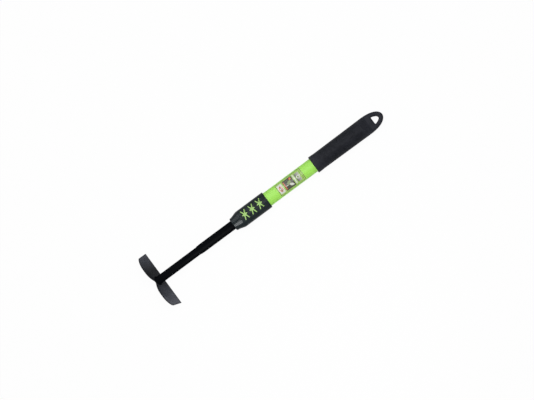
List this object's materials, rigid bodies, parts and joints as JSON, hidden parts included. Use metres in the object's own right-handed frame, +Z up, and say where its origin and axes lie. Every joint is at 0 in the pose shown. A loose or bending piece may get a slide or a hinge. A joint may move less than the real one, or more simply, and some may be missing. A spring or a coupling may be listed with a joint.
{
  "type": "telescopic garden hoe",
  "caption": "Draw hoe with a folded two-lobed blade on a black tube that slides, turns and is clamped by a twist collar in a green handle with a rubber grip and hang loop.",
  "frame": {"origin": "middle of the object's box at ground level, the ground being what the cutting edge and the underside of the grip rest on", "axes": "+X along the tool from the blade towards the grip, +Z up out of the ground, +Y across the blade; the shaft leans down 0.8036 degrees towards the grip, because the cutting edge reaches lower than the grip"},
  "size_m": [0.6332, 0.1368, 0.0505],
  "materials": {
    "blade_paint": "satin black paint with a ground cutting bevel",
    "black_paint": "semi-gloss black powder coat",
    "green_paint": "gloss bright green paint",
    "green_plastic": "moulded bright green plastic",
    "collar_rubber": "smooth satin black elastomer",
    "grip_rubber": "fine-grained matt black elastomer",
    "grey_nylon": "moulded grey nylon",
    "white_nylon": "moulded natural nylon"
  },
  "bodies": {
    "handle": {"barrel_tube": "green_paint", "grip": "grip_rubber", "collet": "grey_nylon"},
    "collar": {"collar_core": "green_plastic", "collar_sleeve": "collar_rubber"},
    "bush": {"guide_bush": "white_nylon"},
    "shaft": {"shaft_tube": "black_paint", "neck_tube": "black_paint", "weld_bead": "black_paint", "blade": "blade_paint"}
  },
  "joints": [
    {"name": "tube_slide", "type": "slide", "parent": "handle", "child": "bush", "axis": [-0.9999, 0, 0.014], "range_m": [0, 0.265]},
    {"name": "tube_swivel", "type": "hinge", "parent": "bush", "child": "shaft", "pos_m": [0.24544, 0, 0.02144], "axis": [-0.9999, 0, 0.014], "continuous": true},
    {"name": "collar_twist", "type": "hinge", "parent": "handle", "child": "collar", "pos_m": [-0.09703, 0, 0.02624], "axis": [-0.9999, 0, 0.014], "range_deg": [0, 90]}
  ]
}
